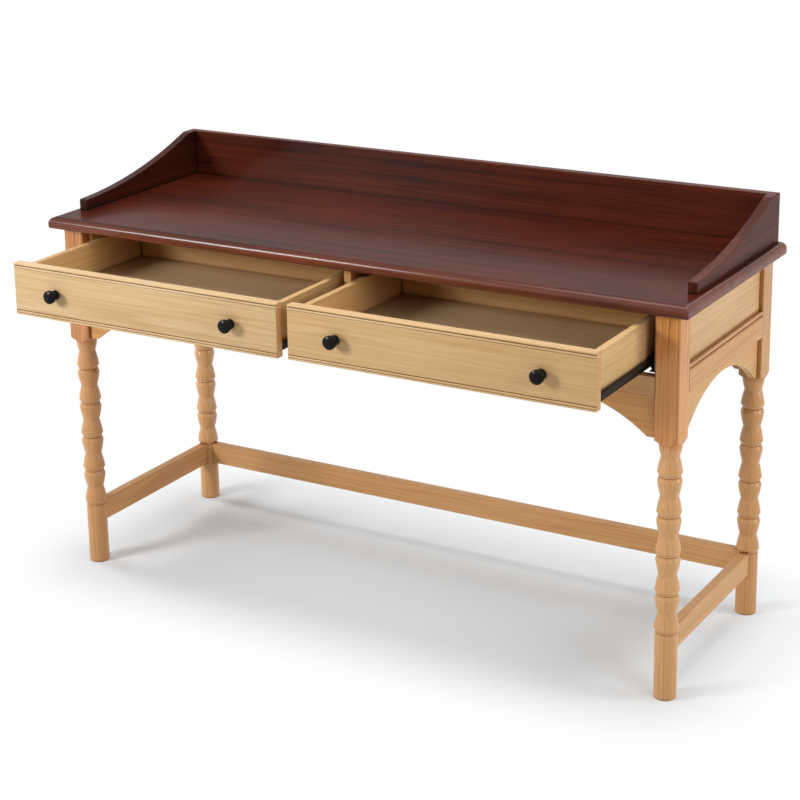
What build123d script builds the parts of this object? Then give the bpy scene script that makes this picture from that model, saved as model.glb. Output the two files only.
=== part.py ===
from build123d import *
import math
import os

# A shaker sewing desk: a pine leg frame with turned legs, two drawers on roller slides, and a stained
# top with a low gallery round its back. Millimetres, X along the desk, -Y the front, +Z up.
# The origin is on the floor, under the middle of the box that holds the desk with its drawers as open
# as they stand here.

# ---- Leg frame ----
frame_length = 1352     # over the posts, left to right
frame_depth = 455       # over the posts, front to back
leg_height = 737        # floor to the underside of the worktop
post = 46               # square block at the top of each leg
arris = 1.5             # eased edge of a square block, rail or board

# ---- Turning of a leg ----
pommel_height = 8       # height of the cone that cuts the block's corners
pommel_lip = 0.4        # how far that cone ends outside the block's flat faces
neck_drop = 1.2         # below the cone, down to the neck
neck_radius = 21.8
waist_drop = 34         # from the foot of the square block's flat faces to the first waist
waist_low = 168.5       # height of the last waist
waist_count = 5
waist_radius = 16.7
waist_round = 5         # rounding of a waist, seen from the side
rim_radius = 23         # sharp rim under each waist
rim_drop = 29.5         # from a waist down to its rim
rim_fall = 5            # height over which the leg falls in quickly under a rim
groove_drop = 8         # from a rim down to the middle of the incised line
groove_depth = 1.2
groove_height = 2
cove_radius = 20.2      # leg on either side of the incised line
ridge_drop = 16.5       # from a rim down to the next ridge
ridge_radius = 22.8
ridge_round = 5         # rounding of a ridge, seen from the side
flare_bulge = 0.7       # how far a flare swells beyond a straight cone
foot_radius = 21
foot_ease = 2

# ---- Stretchers ----
stretcher_thickness = 20
stretcher_bottom = 87
stretcher_height = 46
tenon_apart = 1.5       # wood left between two tenons that meet in one foot

# ---- Rails, panels and aprons ----
rail_thickness = 20
rail_drop = 153         # lower edge of the rails below the worktop
front_rail_height = 35
side_rail_height = 51.5
tenon_thickness = 10
tenon_length = 18
tenon_shoulder = 6      # rail above and below its tenon
bead_height = 6.5       # rounded bead along the side rail's top edge
bead_ease = 1.2         # how far the bead's edges fall back from the rail's face
bead_groove = 4         # height of the groove under the bead
bead_groove_depth = 3
panel_recess = 8.5      # panels and aprons lie this far behind the posts' faces
panel_thickness = 12
tongue = 6              # depth to which panels and aprons enter the posts
apron_height = 80       # under the rails, at the legs
front_arch_rise = 65
front_arch_run = 181    # length over which the front arch rises at each end
front_arch_flat = 17    # straight stretch beside the leg
side_arch_rise = 66
side_arch_flat = 13.5

# ---- Partition and guides ----
partition_thickness = 15
partition_setback = 6   # behind the posts' front faces
guide_thickness = 9.5   # board on the inner faces of the posts
guide_setback = 20      # behind the posts' front faces
batten_rise = 6         # thick part of the guide, between the posts, above the front rail
batten_height = 42
batten_gap = 1          # between the batten and each post

# ---- Worktop and gallery ----
top_thickness = 23
overhang_side = 22
overhang_front = 21
overhang_back = 10
nose_radius = 12        # rounding of the upper front and side edges
nose_foot = 4           # rounding of the lower ones
gallery_thickness = 18
gallery_inset = 17.5    # in from the ends of the worktop
gallery_setback = 81.5  # back from the front edge of the worktop
gallery_low = 22.5      # height at the front
gallery_high = 96       # height at the back
sweep_sag = 16          # hollow of the swept edge below a straight line
sweep_end = 38          # sweep stops this far ahead of the worktop's back edge
sweep_shoulder = 45     # radius where the sweep meets the level top
gallery_nose = 3        # rounded upper front corner

# ---- Drawers ----
left_opening = 224      # how far each drawer stands out of the case
right_opening = 218
front_thickness = 18
front_gap = 2           # beside a closed front
front_rise = 1.5        # closed front above the front rail
front_fall = 12.5       # closed front below the worktop
box_depth = 392         # front's face to the rear end of the box
box_foot = 7.5          # lower edge of the box above that of the front
box_head = 8.5          # upper edge of the box below that of the front
side_thickness = 12
back_thickness = 12
back_setback = 8        # ahead of the sides' rear ends
bottom_thickness = 6
bottom_rise = 16        # underside of the bottom above the lower edge of the sides
dado = 5                # depth of the grooves that hold the box together
fit_gap = 0.1           # glued and pushed fits
edge_bead = 6           # height of the bead along the top of a drawer front
foot_bead = 5.5         # height of the bead along its lower edge
bead_back = 3           # how far the edges of a bead fall back from its middle
field_back = 1.2        # flat field of the front behind the beads
front_cove = 7          # height of the cove between a bead and the field
cove_hollow = 0.8       # its hollow behind a straight slope
front_quirk = 0.5       # sharp groove between a bead and its cove
quirk_back = 5          # depth of that groove from the front's foremost face

# ---- Knobs ----
knob_inset = 101        # in from the ends of a front
knob_projection = 26    # out from the field of the front
knob_radius = 13
knob_neck_radius = 6
knob_foot_radius = 9.2
knob_foot_height = 2.5
knob_neck_start = 5     # the neck's straight part, out from the field
knob_neck_end = 9
knob_rim_start = 17.5   # level edge of the head
knob_rim_ease = 1.8     # its rounding
knob_hollow = 1.6       # hollow of the head's underside
knob_crown = 3.5        # height of the domed face
knob_screw_radius = 2
knob_screw_bite = 10    # length inside the knob
screw_clearance = 0.1   # between a screw and its hole

# ---- Slides ----
slide_space = 12.5      # between a box side and the face that carries the slide
slide_length = 350
sheet = 1.2             # steel sheet of channels and runners
channel_setback = 2     # behind a closed drawer front
runner_height = 18
runner_flange = 11      # under the box side
runner_lip = 9          # out over the rollers, beyond the runner's web
lip_shortfall = 25      # lip ends this far ahead of the runner's rear end
roller_radius = 10.5
roller_width = 4.6
roller_ease = 0.5       # chamfered edges of a roller
roll_gap = 0.3          # between a roller and what it runs on
lip_gap = 1.2           # between the lip and the channel's upper flange
channel_reach = 10      # lower flange out from the face behind the channel
channel_lip = 7.5       # upper flange
roller_inset = 12       # front roller's axle behind the channel's front end
axle_inset = 11         # rear roller's axle ahead of the runner's rear end
axle_radius = 2.5
axle_clearance = 0.05
axle_head_radius = 4
axle_head = 0.7
axle_play = 0.3         # end play of a roller on its axle

# ---- Fasteners ----
screw_radius = 1.75
screw_head_radius = 3.5
screw_head = 1.2
screw_apart = 0.7       # between a screw's point and the middle of the partition
first_slide_screw = 45  # behind the front end of a channel or runner
slide_screw_spacing = 120
block_size = 22         # blocks that hold the worktop
block_length = 60
side_block_spacing = 220
rear_block_spacing = 320
block_screw_bite = 12   # length inside the worktop
dowel_radius = 4
dowel_bite = 11         # length in the worktop, and in the gallery
back_dowel_spacing = 300
side_dowel_spacing = 150
dowel_gap = 0.1

# ---- Places worked out from the sizes above ----
reach_front = max(left_opening, right_opening) + knob_projection - field_back
frame_y = (reach_front - overhang_back) / 2     # middle of the leg frame
front_y = frame_y - frame_depth / 2             # posts' front faces
back_y = frame_y + frame_depth / 2
end_x = frame_length / 2                        # posts' outer faces
leg_x = end_x - post / 2
leg_reach = frame_depth / 2 - post / 2          # leg axes ahead of and behind the middle
inner_x = end_x - post                          # posts' inner faces
inner_reach = frame_depth / 2 - post
panel_x = end_x - panel_recess - panel_thickness    # inner face of a side panel
rear_panel_y = back_y - panel_recess - panel_thickness
rail_bottom = leg_height - rail_drop
apron_bottom = rail_bottom - apron_height
pommel_top = apron_bottom                       # where the turning starts to cut the block's corners
waist_top = pommel_top - waist_drop
waist_pitch = (waist_top - waist_low) / (waist_count - 1)
front_arch_crown = apron_bottom + front_arch_rise
side_arch_crown = apron_bottom + side_arch_rise
front_rail_top = rail_bottom + front_rail_height
batten_bottom = front_rail_top + batten_rise
side_rail_top = rail_bottom + side_rail_height
tongue_gap = tongue + fit_gap
stretcher_top = stretcher_bottom + stretcher_height
tenon_end = stretcher_thickness / 2 + tenon_apart
guide_x = inner_x - guide_thickness             # face that carries the outer slide
partition_x = partition_thickness / 2           # face that carries the inner slide
bay_x = (partition_x + guide_x) / 2             # middle of the right drawer
bay_half = (guide_x - partition_x) / 2
front_half = bay_half - front_gap
box_half = bay_half - slide_space
inside_half = box_half - side_thickness
front_bottom = front_rail_top + front_rise
front_top = leg_height - front_fall
front_back_y = front_y + front_thickness        # inner face of a closed front
box_back_y = front_y + box_depth
box_bottom = front_bottom + box_foot
box_top = front_top - box_head
floor_bottom = box_bottom + bottom_rise
floor_top = floor_bottom + bottom_thickness
knob_z = (front_bottom + front_top) / 2
knob_reach = front_half - knob_inset
top_z = leg_height + top_thickness
top_half = end_x + overhang_side
top_front_y = front_y - overhang_front
top_back_y = back_y + overhang_back
gallery_x = top_half - gallery_inset
runner_bottom = box_bottom - sheet
runner_top = runner_bottom + runner_height
lip_bottom = runner_top - sheet
roller_z = lip_bottom - roll_gap - roller_radius
track_top = roller_z - roller_radius - roll_gap
channel_top = runner_top + lip_gap + sheet
channel_front_y = front_back_y + channel_setback
front_roller_y = channel_front_y + roller_inset
rear_roller_y = front_back_y + slide_length - axle_inset
roller_x = bay_x + box_half + slide_space / 2   # middle of the right-hand rollers
screw_bite = partition_x - screw_apart
slide_screw_ys = [channel_front_y + first_slide_screw + n * slide_screw_spacing for n in range(3)]

os.makedirs("parts", exist_ok=True)


def save(built, name):
    """Label a finished piece and write it to the parts folder."""
    built.part.label = name
    export_step(built.part, f"parts/{name}.step")


def save_pair(right_piece, stem, middle=0):
    """Write a right-hand piece and its mirror image about the upright plane at X = middle."""
    with BuildPart() as left_piece:
        mirror(right_piece.part, about=Plane.YZ.offset(middle))
    save(left_piece, f"{stem}_left")
    save(right_piece, f"{stem}_right")


def save_in_bays(right_piece, stem, on_drawer):
    """Write a piece of the right bay in both bays, drawn out with the drawer if it is on one."""
    for bay, shift, opening in (("left", -2 * bay_x, left_opening), ("right", 0, right_opening)):
        with BuildPart() as placed:
            with Locations((shift, -opening if on_drawer else 0, 0)):
                add(right_piece.part)
        save(placed, f"{bay}_{stem}")


def save_pair_in_bays(right_piece, stem, on_drawer):
    """Write a piece of the right bay's right side on both sides of both bays."""
    with BuildPart() as left_piece:
        mirror(right_piece.part, about=Plane.YZ.offset(bay_x))
    save_in_bays(left_piece, f"{stem}_left", on_drawer)
    save_in_bays(right_piece, f"{stem}_right", on_drawer)


def block(x, y, z, mode=Mode.ADD):
    """Add to, or cut from, the piece being built a straight block with these limits."""
    with Locations(((x[0] + x[1]) / 2, (y[0] + y[1]) / 2, (z[0] + z[1]) / 2)):
        Box(x[1] - x[0], y[1] - y[0], z[1] - z[0], mode=mode)


def grown(limits, gap=fit_gap):
    """Widen a pair of limits by a gap at both ends."""
    return limits[0] - gap, limits[1] + gap


def rod(start, length, radius, direction, mode=Mode.ADD):
    """Add or cut a round bar that starts at a point and runs along a direction."""
    with Locations(Plane(origin=start, z_dir=direction)):
        Cylinder(radius, length, align=(Align.CENTER, Align.CENTER, Align.MIN), mode=mode)


def screw(seat, length, radius, direction):
    """Add a screw whose head rests on the seat and whose shank runs along the direction."""
    rod(seat, screw_head, screw_head_radius, Vector(*direction) * -1)
    rod(seat, length, radius, direction)


# ---- Legs: a square block above, turned below ----
pommel_foot = pommel_top - pommel_height
neck_z = pommel_foot - neck_drop
corner_radius = post / math.sqrt(2) + 1


def flare(start, end):
    """Draw an arc between two (radius, height) points that swells beyond the straight line."""
    middle = ((start[0] + end[0]) / 2 + flare_bulge, (start[1] + end[1]) / 2)
    ThreePointArc(start, middle, end)


with BuildPart() as leg_blank:
    with BuildSketch(Plane.XY.offset(neck_z)):
        Rectangle(post, post)
    extrude(amount=leg_height - neck_z)
    chamfer(leg_blank.edges().filter_by(Axis.Z), length=arris)
    with BuildSketch(Plane.XZ):
        with BuildLine():
            Polyline(
                (0, neck_z),
                (neck_radius, neck_z),
                (post / 2 + pommel_lip, pommel_foot),
                (corner_radius, pommel_top),
                (corner_radius, leg_height),
                (0, leg_height),
                close=True,
            )
        make_face()
    revolve(axis=Axis.Z, mode=Mode.INTERSECT)
    with BuildSketch(Plane.XZ) as turning:
        with BuildLine():
            Line((0, neck_z), (neck_radius, neck_z))
            above = (neck_radius, neck_z)
            for number in range(waist_count):
                waist = (waist_radius, waist_top - number * waist_pitch)
                rim = (rim_radius, waist[1] - rim_drop)
                groove_z = rim[1] - groove_drop
                flare(above, waist)
                flare(waist, rim)
                mouth = (cove_radius, groove_z - groove_height / 2)
                Polyline(
                    rim,
                    (cove_radius, rim[1] - rim_fall),
                    (cove_radius, groove_z + groove_height / 2),
                    (cove_radius - groove_depth, groove_z),
                    mouth,
                )
                if number < waist_count - 1:
                    above = (ridge_radius, rim[1] - ridge_drop)
                    Line(mouth, above)
            Polyline(
                mouth,
                (foot_radius, mouth[1] - foot_ease / 2),
                (foot_radius, foot_ease),
                (foot_radius - foot_ease, 0),
                (0, 0),
                (0, neck_z),
            )
        make_face()
        for turned_radius, rounding in ((waist_radius, waist_round), (ridge_radius, ridge_round)):
            fillet(
                turning.vertices().filter_by(lambda v: abs(v.X - turned_radius) < 0.01),
                radius=rounding,
            )
    revolve(axis=Axis.Z)

# Limits of what enters the right-hand posts and feet.
front_tenon_y = (
    front_y + (rail_thickness - tenon_thickness) / 2,
    front_y + (rail_thickness + tenon_thickness) / 2,
)
front_tenon_z = (rail_bottom + tenon_shoulder, front_rail_top - tenon_shoulder)
side_tenon_x = (
    end_x - (rail_thickness + tenon_thickness) / 2,
    end_x - (rail_thickness - tenon_thickness) / 2,
)
side_tenon_z = (rail_bottom + tenon_shoulder, side_rail_top - tenon_shoulder)
side_panel_x = (panel_x, panel_x + panel_thickness)
front_apron_y = (front_y + panel_recess, front_y + panel_recess + panel_thickness)
rear_panel_limits = (rear_panel_y, rear_panel_y + panel_thickness)
stretcher_z = (stretcher_bottom, stretcher_top)
stretcher_half = stretcher_thickness / 2
mortise_end = tenon_end - fit_gap
rear_leg_y = frame_y + leg_reach


def inward(sign, depth):
    """Give the Y limits of a cut that enters a front (-1) or rear (1) post from between the posts."""
    start = frame_y + sign * (inner_reach - fit_gap)
    stop = frame_y + sign * (inner_reach + depth + fit_gap)
    return min(start, stop), max(start, stop)


for row, sign in (("front", -1), ("rear", 1)):
    leg_y = frame_y + sign * leg_reach
    with BuildPart() as leg:
        with Locations((leg_x, leg_y, 0)):
            add(leg_blank.part)
        block(grown(side_tenon_x), inward(sign, tenon_length), grown(side_tenon_z), Mode.SUBTRACT)
        for housed_z in ((apron_bottom, rail_bottom), (side_rail_top, leg_height)):
            block(grown(side_panel_x), inward(sign, tongue), grown(housed_z), Mode.SUBTRACT)
        foot_y = tuple(sorted((leg_y - sign * mortise_end, leg_y - sign * post)))
        block(
            grown((leg_x - stretcher_half, leg_x + stretcher_half)),
            foot_y,
            grown(stretcher_z),
            Mode.SUBTRACT,
        )
        if row == "front":
            block(
                (inner_x - fit_gap, inner_x + tenon_length + fit_gap),
                grown(front_tenon_y),
                grown(front_tenon_z),
                Mode.SUBTRACT,
            )
            block(
                (inner_x - fit_gap, inner_x + tongue_gap),
                grown(front_apron_y),
                grown((apron_bottom, rail_bottom)),
                Mode.SUBTRACT,
            )
        else:
            block(
                (inner_x - fit_gap, inner_x + tongue_gap),
                grown(rear_panel_limits),
                grown((apron_bottom, leg_height)),
                Mode.SUBTRACT,
            )
            block(
                (leg_x - post, leg_x - mortise_end),
                grown((leg_y - stretcher_half, leg_y + stretcher_half)),
                grown(stretcher_z),
                Mode.SUBTRACT,
            )
    save_pair(leg, f"leg_{row}")

# ---- Stretchers ----
with BuildPart() as stretcher_side:
    block(
        (leg_x - stretcher_half, leg_x + stretcher_half),
        (frame_y - leg_reach + tenon_end, frame_y + leg_reach - tenon_end),
        stretcher_z,
    )
    chamfer(stretcher_side.edges().filter_by(Axis.Y), length=arris)
save_pair(stretcher_side, "stretcher")

with BuildPart() as stretcher_rear:
    block(
        (tenon_end - leg_x, leg_x - tenon_end),
        (rear_leg_y - stretcher_half, rear_leg_y + stretcher_half),
        stretcher_z,
    )
    chamfer(stretcher_rear.edges().filter_by(Axis.X), length=arris)
save(stretcher_rear, "stretcher_rear")

# ---- Rails ----
with BuildPart() as front_rail:
    block((-inner_x, inner_x), (front_y, front_y + rail_thickness), (rail_bottom, front_rail_top))
    block((-inner_x - tenon_length, inner_x + tenon_length), front_tenon_y, front_tenon_z)
save(front_rail, "front_rail")

bead_bottom = side_rail_top - bead_height
with BuildPart() as side_rail:
    with BuildSketch(Plane.XZ.offset(-frame_y)):
        with BuildLine():
            Polyline(
                (end_x - bead_ease, side_rail_top),
                (end_x - rail_thickness, side_rail_top),
                (end_x - rail_thickness, rail_bottom),
                (end_x, rail_bottom),
                (end_x, bead_bottom - bead_groove),
                (end_x - bead_groove_depth, bead_bottom - bead_groove / 2),
                (end_x - bead_ease, bead_bottom),
            )
            ThreePointArc(
                (end_x - bead_ease, bead_bottom),
                (end_x, bead_bottom + bead_height / 2),
                (end_x - bead_ease, side_rail_top),
            )
        make_face()
    extrude(amount=inner_reach, both=True)
    tenon_reach = inner_reach + tenon_length
    block(side_tenon_x, (frame_y - tenon_reach, frame_y + tenon_reach), side_tenon_z)
save_pair(side_rail, "side_rail")

# ---- Side panels, rear panel and arched aprons ----
panel_reach = inner_reach + tongue
with BuildPart() as side_panel:
    block(side_panel_x, (frame_y - panel_reach, frame_y + panel_reach), (side_rail_top, leg_height))
save_pair(side_panel, "side_panel")

with BuildPart() as rear_panel:
    block((-inner_x - tongue, inner_x + tongue), rear_panel_limits, (rail_bottom, leg_height))
save(rear_panel, "rear_panel")

arch_half = inner_reach - side_arch_flat
with BuildPart() as side_apron:
    with BuildSketch(Plane.YZ.offset(panel_x)):
        with BuildLine():
            Polyline(
                (frame_y + arch_half, apron_bottom),
                (frame_y + panel_reach, apron_bottom),
                (frame_y + panel_reach, rail_bottom),
                (frame_y - panel_reach, rail_bottom),
                (frame_y - panel_reach, apron_bottom),
                (frame_y - arch_half, apron_bottom),
            )
            ThreePointArc(
                (frame_y - arch_half, apron_bottom),
                (frame_y, side_arch_crown),
                (frame_y + arch_half, apron_bottom),
            )
        make_face()
    extrude(amount=panel_thickness)
save_pair(side_apron, "side_apron")

# The long arch is level in the middle and falls by one arc at each end, tangent to the level part.
arch_foot = inner_x - front_arch_flat
arch_start = arch_foot - front_arch_run
arch_radius = (front_arch_run**2 + front_arch_rise**2) / (2 * front_arch_rise)
half_turn = math.asin(front_arch_run / arch_radius) / 2
arch_middle = (
    arch_start + arch_radius * math.sin(half_turn),
    front_arch_crown - arch_radius * (1 - math.cos(half_turn)),
)
long_reach = inner_x + tongue

for stem, behind_y in (("front", front_apron_y[1]), ("rear", rear_panel_limits[1])):
    with BuildPart() as long_apron:
        with BuildSketch(Plane.XZ.offset(-behind_y)):
            with BuildLine():
                Polyline(
                    (arch_foot, apron_bottom),
                    (long_reach, apron_bottom),
                    (long_reach, rail_bottom),
                    (-long_reach, rail_bottom),
                    (-long_reach, apron_bottom),
                    (-arch_foot, apron_bottom),
                )
                ThreePointArc(
                    (-arch_foot, apron_bottom),
                    (-arch_middle[0], arch_middle[1]),
                    (-arch_start, front_arch_crown),
                )
                Line((-arch_start, front_arch_crown), (arch_start, front_arch_crown))
                ThreePointArc((arch_start, front_arch_crown), arch_middle, (arch_foot, apron_bottom))
            make_face()
        extrude(amount=panel_thickness)
    save(long_apron, f"{stem}_apron")

# ---- Partition between the drawers, and the guides inside the ends ----
pilot_radius = screw_radius + screw_clearance
pilot_depth = screw_bite + screw_clearance
with BuildPart() as centre_partition:
    block(
        (-partition_x, partition_x),
        (front_y + partition_setback, rear_panel_y),
        (front_rail_top, leg_height),
    )
    for spot_y in slide_screw_ys:
        for side in (-1, 1):
            start = (side * partition_x, spot_y, roller_z)
            rod(start, pilot_depth, pilot_radius, (-side, 0, 0), Mode.SUBTRACT)
save(centre_partition, "centre_partition")

with BuildPart() as guide:
    block((guide_x, inner_x), (front_y + guide_setback, rear_panel_y), (front_rail_top, leg_height))
    block(
        (inner_x, panel_x),
        (frame_y - inner_reach + batten_gap, frame_y + inner_reach - batten_gap),
        (batten_bottom, batten_bottom + batten_height),
    )
    for spot_y in slide_screw_ys:
        rod((guide_x, spot_y, roller_z), pilot_depth, pilot_radius, (1, 0, 0), Mode.SUBTRACT)
save_pair(guide, "drawer_guide")

# ---- Blocks that hold the worktop: two on each side panel, four on the rear panel ----
side_block_x = panel_x - block_size / 2
rear_block_y = rear_panel_y - block_size / 2
side_blocks = [
    (side * side_block_x, frame_y + end * side_block_spacing / 2) for side in (-1, 1) for end in (-1, 1)
]
rear_blocks = [(n * rear_block_spacing, rear_block_y) for n in (-1.5, -0.5, 0.5, 1.5)]
block_bottom = leg_height - block_size

with BuildPart() as top_blocks:
    with Locations(*[(x, y, block_bottom + block_size / 2) for x, y in side_blocks]):
        Box(block_size, block_length, block_size)
    with Locations(*[(x, y, block_bottom + block_size / 2) for x, y in rear_blocks]):
        Box(block_length, block_size, block_size)
    for x, y in side_blocks + rear_blocks:
        rod((x, y, block_bottom), block_size, pilot_radius, (0, 0, 1), Mode.SUBTRACT)
save(top_blocks, "top_blocks")

with BuildPart() as top_screws:
    for x, y in side_blocks + rear_blocks:
        screw((x, y, block_bottom), block_size + block_screw_bite, screw_radius, (0, 0, 1))
save(top_screws, "top_screws")

# ---- Worktop, gallery and the dowels between them ----
gallery_y = top_back_y - gallery_thickness      # front face of the back board
gallery_front_y = top_front_y + gallery_setback
gallery_mid_x = gallery_x - gallery_thickness / 2
dowel_spots = [(n * back_dowel_spacing, gallery_y + gallery_thickness / 2) for n in (-2, -1, 0, 1, 2)]
dowel_spots += [
    (side * gallery_mid_x, gallery_y - (n + 0.5) * side_dowel_spacing) for side in (-1, 1) for n in (0, 1)
]


def dowel_holes():
    """Cut the holes for the dowels, in the worktop or in a board that stands on it."""
    for x, y in dowel_spots:
        start = (x, y, top_z - dowel_bite - dowel_gap)
        rod(start, 2 * (dowel_bite + dowel_gap), dowel_radius + dowel_gap, (0, 0, 1), Mode.SUBTRACT)


with BuildPart() as worktop:
    block((-top_half, top_half), (top_front_y, top_back_y), (leg_height, top_z))
    for level, rounding in ((top_z, nose_radius), (leg_height, nose_foot)):
        rims = worktop.edges().filter_by(
            lambda edge: abs(edge.center().Z - level) < arris and edge.center().Y < top_back_y - arris
        )
        fillet(rims, radius=rounding)
    dowel_holes()
    for x, y in side_blocks + rear_blocks:
        depth = block_screw_bite + screw_clearance
        rod((x, y, leg_height), depth, pilot_radius, (0, 0, 1), Mode.SUBTRACT)
save(worktop, "worktop")

with BuildPart() as gallery_back:
    block((-gallery_x, gallery_x), (gallery_y, top_back_y), (top_z, top_z + gallery_high))
    chamfer(gallery_back.faces().sort_by(Axis.Z)[-1].edges(), length=arris)
    dowel_holes()
save(gallery_back, "gallery_back")

# The swept edge of a gallery side is an arc that hangs below the line between its ends.
sweep_start = Vector(gallery_front_y, top_z + gallery_low)
sweep_stop = Vector(top_back_y - sweep_end, top_z + gallery_high)
sweep_run = sweep_stop - sweep_start
sweep_middle = (sweep_start + sweep_stop) / 2 + Vector(sweep_run.Y, -sweep_run.X).normalized() * sweep_sag

with BuildPart() as gallery_side:
    with BuildSketch(Plane.YZ.offset(gallery_x - gallery_thickness)) as side_outline:
        with BuildLine():
            ThreePointArc(sweep_start, sweep_middle, sweep_stop)
            Polyline(
                sweep_stop,
                (gallery_y, top_z + gallery_high),
                (gallery_y, top_z),
                (gallery_front_y, top_z),
                sweep_start,
            )
        make_face()
        fillet(side_outline.vertices().sort_by_distance(sweep_stop)[0], radius=sweep_shoulder)
        fillet(side_outline.vertices().sort_by_distance(sweep_start)[0], radius=gallery_nose)
    extrude(amount=gallery_thickness)
    chamfer(
        gallery_side.faces().filter_by(Axis.X).edges().filter_by(
            lambda edge: edge.center().Z > top_z + arris and edge.center().Y < gallery_y - arris
        ),
        length=arris / 2,
    )
    dowel_holes()
save_pair(gallery_side, "gallery")

with BuildPart() as gallery_dowels:
    for x, y in dowel_spots:
        rod((x, y, top_z - dowel_bite), 2 * dowel_bite, dowel_radius, (0, 0, 1))
save(gallery_dowels, "gallery_dowels")

# ---- Drawers: each piece is made on the closed right drawer ----
box_x = bay_x + box_half                        # outer face of the right-hand box side
inside_x = bay_x + inside_half
box_back_face = box_back_y - back_setback       # rear face of the drawer back
box_inner_y = box_back_face - back_thickness
knob_spots = [(bay_x + side * knob_reach, knob_z) for side in (-1, 1)]
field_y = front_y + field_back
quirk_y = front_y + quirk_back
upper_quirk = front_top - edge_bead - front_quirk
lower_quirk = front_bottom + foot_bead + front_quirk
cove_y = (quirk_y + field_y) / 2 + cove_hollow  # middle of a cove

with BuildPart() as drawer_front:
    with BuildSketch(Plane.YZ.offset(bay_x - front_half)):
        with BuildLine():
            ThreePointArc(
                (front_y + bead_back, front_bottom),
                (front_y, front_bottom + foot_bead / 2),
                (front_y + bead_back, front_bottom + foot_bead),
            )
            Line((front_y + bead_back, front_bottom + foot_bead), (quirk_y, lower_quirk))
            ThreePointArc(
                (quirk_y, lower_quirk),
                (cove_y, lower_quirk + front_cove / 2),
                (field_y, lower_quirk + front_cove),
            )
            Line((field_y, lower_quirk + front_cove), (field_y, upper_quirk - front_cove))
            ThreePointArc(
                (field_y, upper_quirk - front_cove),
                (cove_y, upper_quirk - front_cove / 2),
                (quirk_y, upper_quirk),
            )
            Line((quirk_y, upper_quirk), (front_y + bead_back, front_top - edge_bead))
            ThreePointArc(
                (front_y + bead_back, front_top - edge_bead),
                (front_y, front_top - edge_bead / 2),
                (front_y + bead_back, front_top),
            )
            Polyline(
                (front_y + bead_back, front_top),
                (front_back_y, front_top),
                (front_back_y, front_bottom),
                (front_y + bead_back, front_bottom),
            )
        make_face()
    extrude(amount=2 * front_half)
    dado_y = (front_back_y - dado - fit_gap, front_back_y)
    for side in (-1, 1):
        side_limits = sorted((bay_x + side * inside_half, bay_x + side * box_half))
        block(grown(side_limits), dado_y, grown((box_bottom, box_top)), Mode.SUBTRACT)
    block(
        (bay_x - inside_half, bay_x + inside_half), dado_y, grown((floor_bottom, floor_top)), Mode.SUBTRACT
    )
    for x, z in knob_spots:
        hole = knob_screw_radius + screw_clearance
        rod((x, front_back_y, z), front_thickness, hole, (0, -1, 0), Mode.SUBTRACT)
save_in_bays(drawer_front, "drawer_front", on_drawer=True)

runner_screw_x = box_x - side_thickness / 2
runner_screw_ys = [front_back_y + first_slide_screw + n * slide_screw_spacing for n in range(3)]
with BuildPart() as drawer_side:
    block((inside_x, box_x), (front_back_y - dado, box_back_y), (box_bottom, box_top))
    groove_x = (inside_x, inside_x + dado + fit_gap)
    block(groove_x, (front_back_y - dado, box_back_y), grown((floor_bottom, floor_top)), Mode.SUBTRACT)
    block(groove_x, grown((box_inner_y, box_back_face)), (floor_top, box_top), Mode.SUBTRACT)
    for spot_y in runner_screw_ys:
        rod((runner_screw_x, spot_y, box_bottom), pilot_depth, pilot_radius, (0, 0, 1), Mode.SUBTRACT)
save_pair_in_bays(drawer_side, "drawer_side", on_drawer=True)

housed_half = inside_half + dado                # half width of what sits in the grooves
with BuildPart() as drawer_back:
    block((bay_x - housed_half, bay_x + housed_half), (box_inner_y, box_back_face), (floor_top, box_top))
save_in_bays(drawer_back, "drawer_back", on_drawer=True)

plate_z = (floor_bottom, floor_top)
tongue_y = (front_back_y - dado, front_back_y)
with BuildPart() as drawer_bottom:
    block((bay_x - housed_half, bay_x + housed_half), (front_back_y, box_back_face), plate_z)
    block((bay_x - inside_half, bay_x + inside_half), tongue_y, plate_z)
save_in_bays(drawer_bottom, "drawer_bottom", on_drawer=True)

# ---- Knobs ----
crown_foot = knob_projection - knob_crown       # where the domed face begins
crown_radius = (knob_radius**2 + knob_crown**2) / (2 * knob_crown)
crown_angle = math.asin(knob_radius / crown_radius) / 2
crown_middle = (
    crown_radius * math.sin(crown_angle),
    knob_projection - crown_radius * (1 - math.cos(crown_angle)),
)
with BuildPart() as drawer_knobs:
    for x, z in knob_spots:
        with BuildSketch(Plane(origin=(x, field_y, z), x_dir=(1, 0, 0), z_dir=(0, 0, -1))) as half_knob:
            with BuildLine():
                Polyline(
                    (0, 0),
                    (knob_foot_radius, 0),
                    (knob_foot_radius, knob_foot_height),
                    (knob_neck_radius, knob_neck_start),
                    (knob_neck_radius, knob_neck_end),
                )
                SagittaArc(
                    (knob_neck_radius, knob_neck_end), (knob_radius, knob_rim_start), -knob_hollow
                )
                Line((knob_radius, knob_rim_start), (knob_radius, crown_foot))
                ThreePointArc((knob_radius, crown_foot), crown_middle, (0, knob_projection))
                Line((0, knob_projection), (0, 0))
            make_face()
            fillet(
                half_knob.vertices().filter_by(lambda v: abs(v.X - knob_radius) < 0.01),
                radius=knob_rim_ease,
            )
        revolve(axis=Axis((x, field_y, z), (0, -1, 0)))
        depth = knob_screw_bite + screw_clearance
        rod((x, field_y, z), depth, knob_screw_radius + screw_clearance, (0, -1, 0), Mode.SUBTRACT)
save_in_bays(drawer_knobs, "drawer_knobs", on_drawer=True)

with BuildPart() as knob_screws:
    for x, z in knob_spots:
        length = front_back_y - field_y + knob_screw_bite
        screw((x, front_back_y, z), length, knob_screw_radius, (0, -1, 0))
save_in_bays(knob_screws, "drawer_knob_screws", on_drawer=True)

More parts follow.
